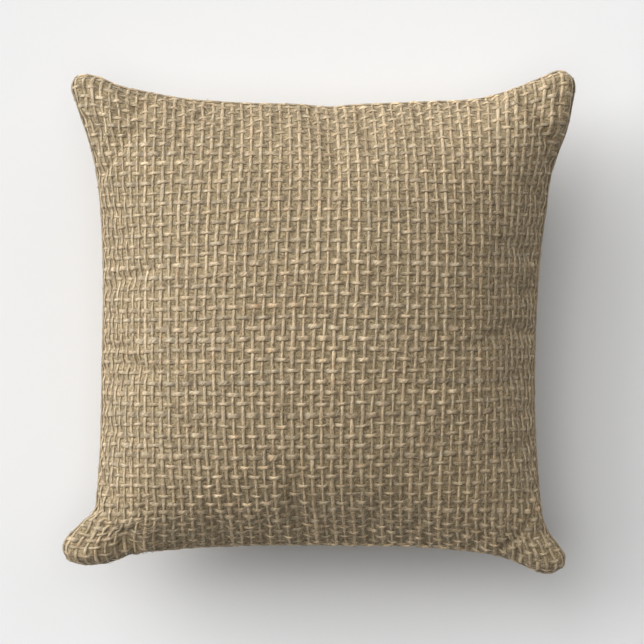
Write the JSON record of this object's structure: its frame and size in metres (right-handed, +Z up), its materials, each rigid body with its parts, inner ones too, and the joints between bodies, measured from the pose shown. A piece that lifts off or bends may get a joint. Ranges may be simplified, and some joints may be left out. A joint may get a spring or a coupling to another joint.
{
  "type": "ring bearer pillow",
  "caption": "Square, well-filled hessian ring bearer pillow with pulled-in sides, four ear corners, a hidden zip in the bottom edge and a loose fibre insert.",
  "frame": {"origin": "on the ground, under the middle of the pillow's box", "axes": "+Z up out of the front face, +Y towards the top edge, +X to the right, along the zip in the bottom edge"},
  "size_m": [0.204, 0.2005, 0.076],
  "materials": {
    "hessian": "natural undyed jute hessian, open plain weave, slubby and slightly hairy",
    "lining_cotton": "plain brown cotton, matt",
    "ticking": "close-woven off-white cotton ticking",
    "fibre_fill": "white hollow polyester fibre",
    "thread": "spun polyester sewing thread in the colour of the hessian",
    "zip_tape": "woven tape in the colour of the hessian",
    "zip_coil": "moulded polyester teeth, satin",
    "antique_brass": "antiqued brass, rubbed bright on its edges"
  },
  "bodies": {
    "pillow": {"cover_front_panel": "hessian", "cover_back_panel": "hessian", "lining_front_panel": "lining_cotton", "lining_back_panel": "lining_cotton", "cover_seam_needle_thread": "thread", "cover_seam_bobbin_thread": "thread", "cover_overlock_thread": "thread", "zip_tape_front": "zip_tape", "zip_tape_back": "zip_tape", "zip_coil_front": "zip_coil", "zip_coil_back": "zip_coil", "zip_stitching_front": "thread", "zip_stitching_back": "thread", "zip_top_stop_front": "antique_brass", "zip_top_stop_back": "antique_brass", "zip_bottom_stop": "antique_brass", "insert_front_panel": "ticking", "insert_back_panel": "ticking", "insert_seam_thread": "thread", "insert_fibre_fill": "fibre_fill"},
    "zip_slider": {"zip_slider_body": "antique_brass"},
    "zip_pull": {"zip_pull_tab": "antique_brass"}
  },
  "joints": [
    {"name": "zip_slide", "type": "slide", "parent": "pillow", "child": "zip_slider", "axis": [1, 0, 0], "range_m": [-0.105, 0]},
    {"name": "pull_tab_swing", "type": "hinge", "parent": "zip_slider", "child": "zip_pull", "pos_m": [0.0525, -0.08685, 0.036], "axis": [0, 0, 1], "range_deg": [0, 170]}
  ]
}
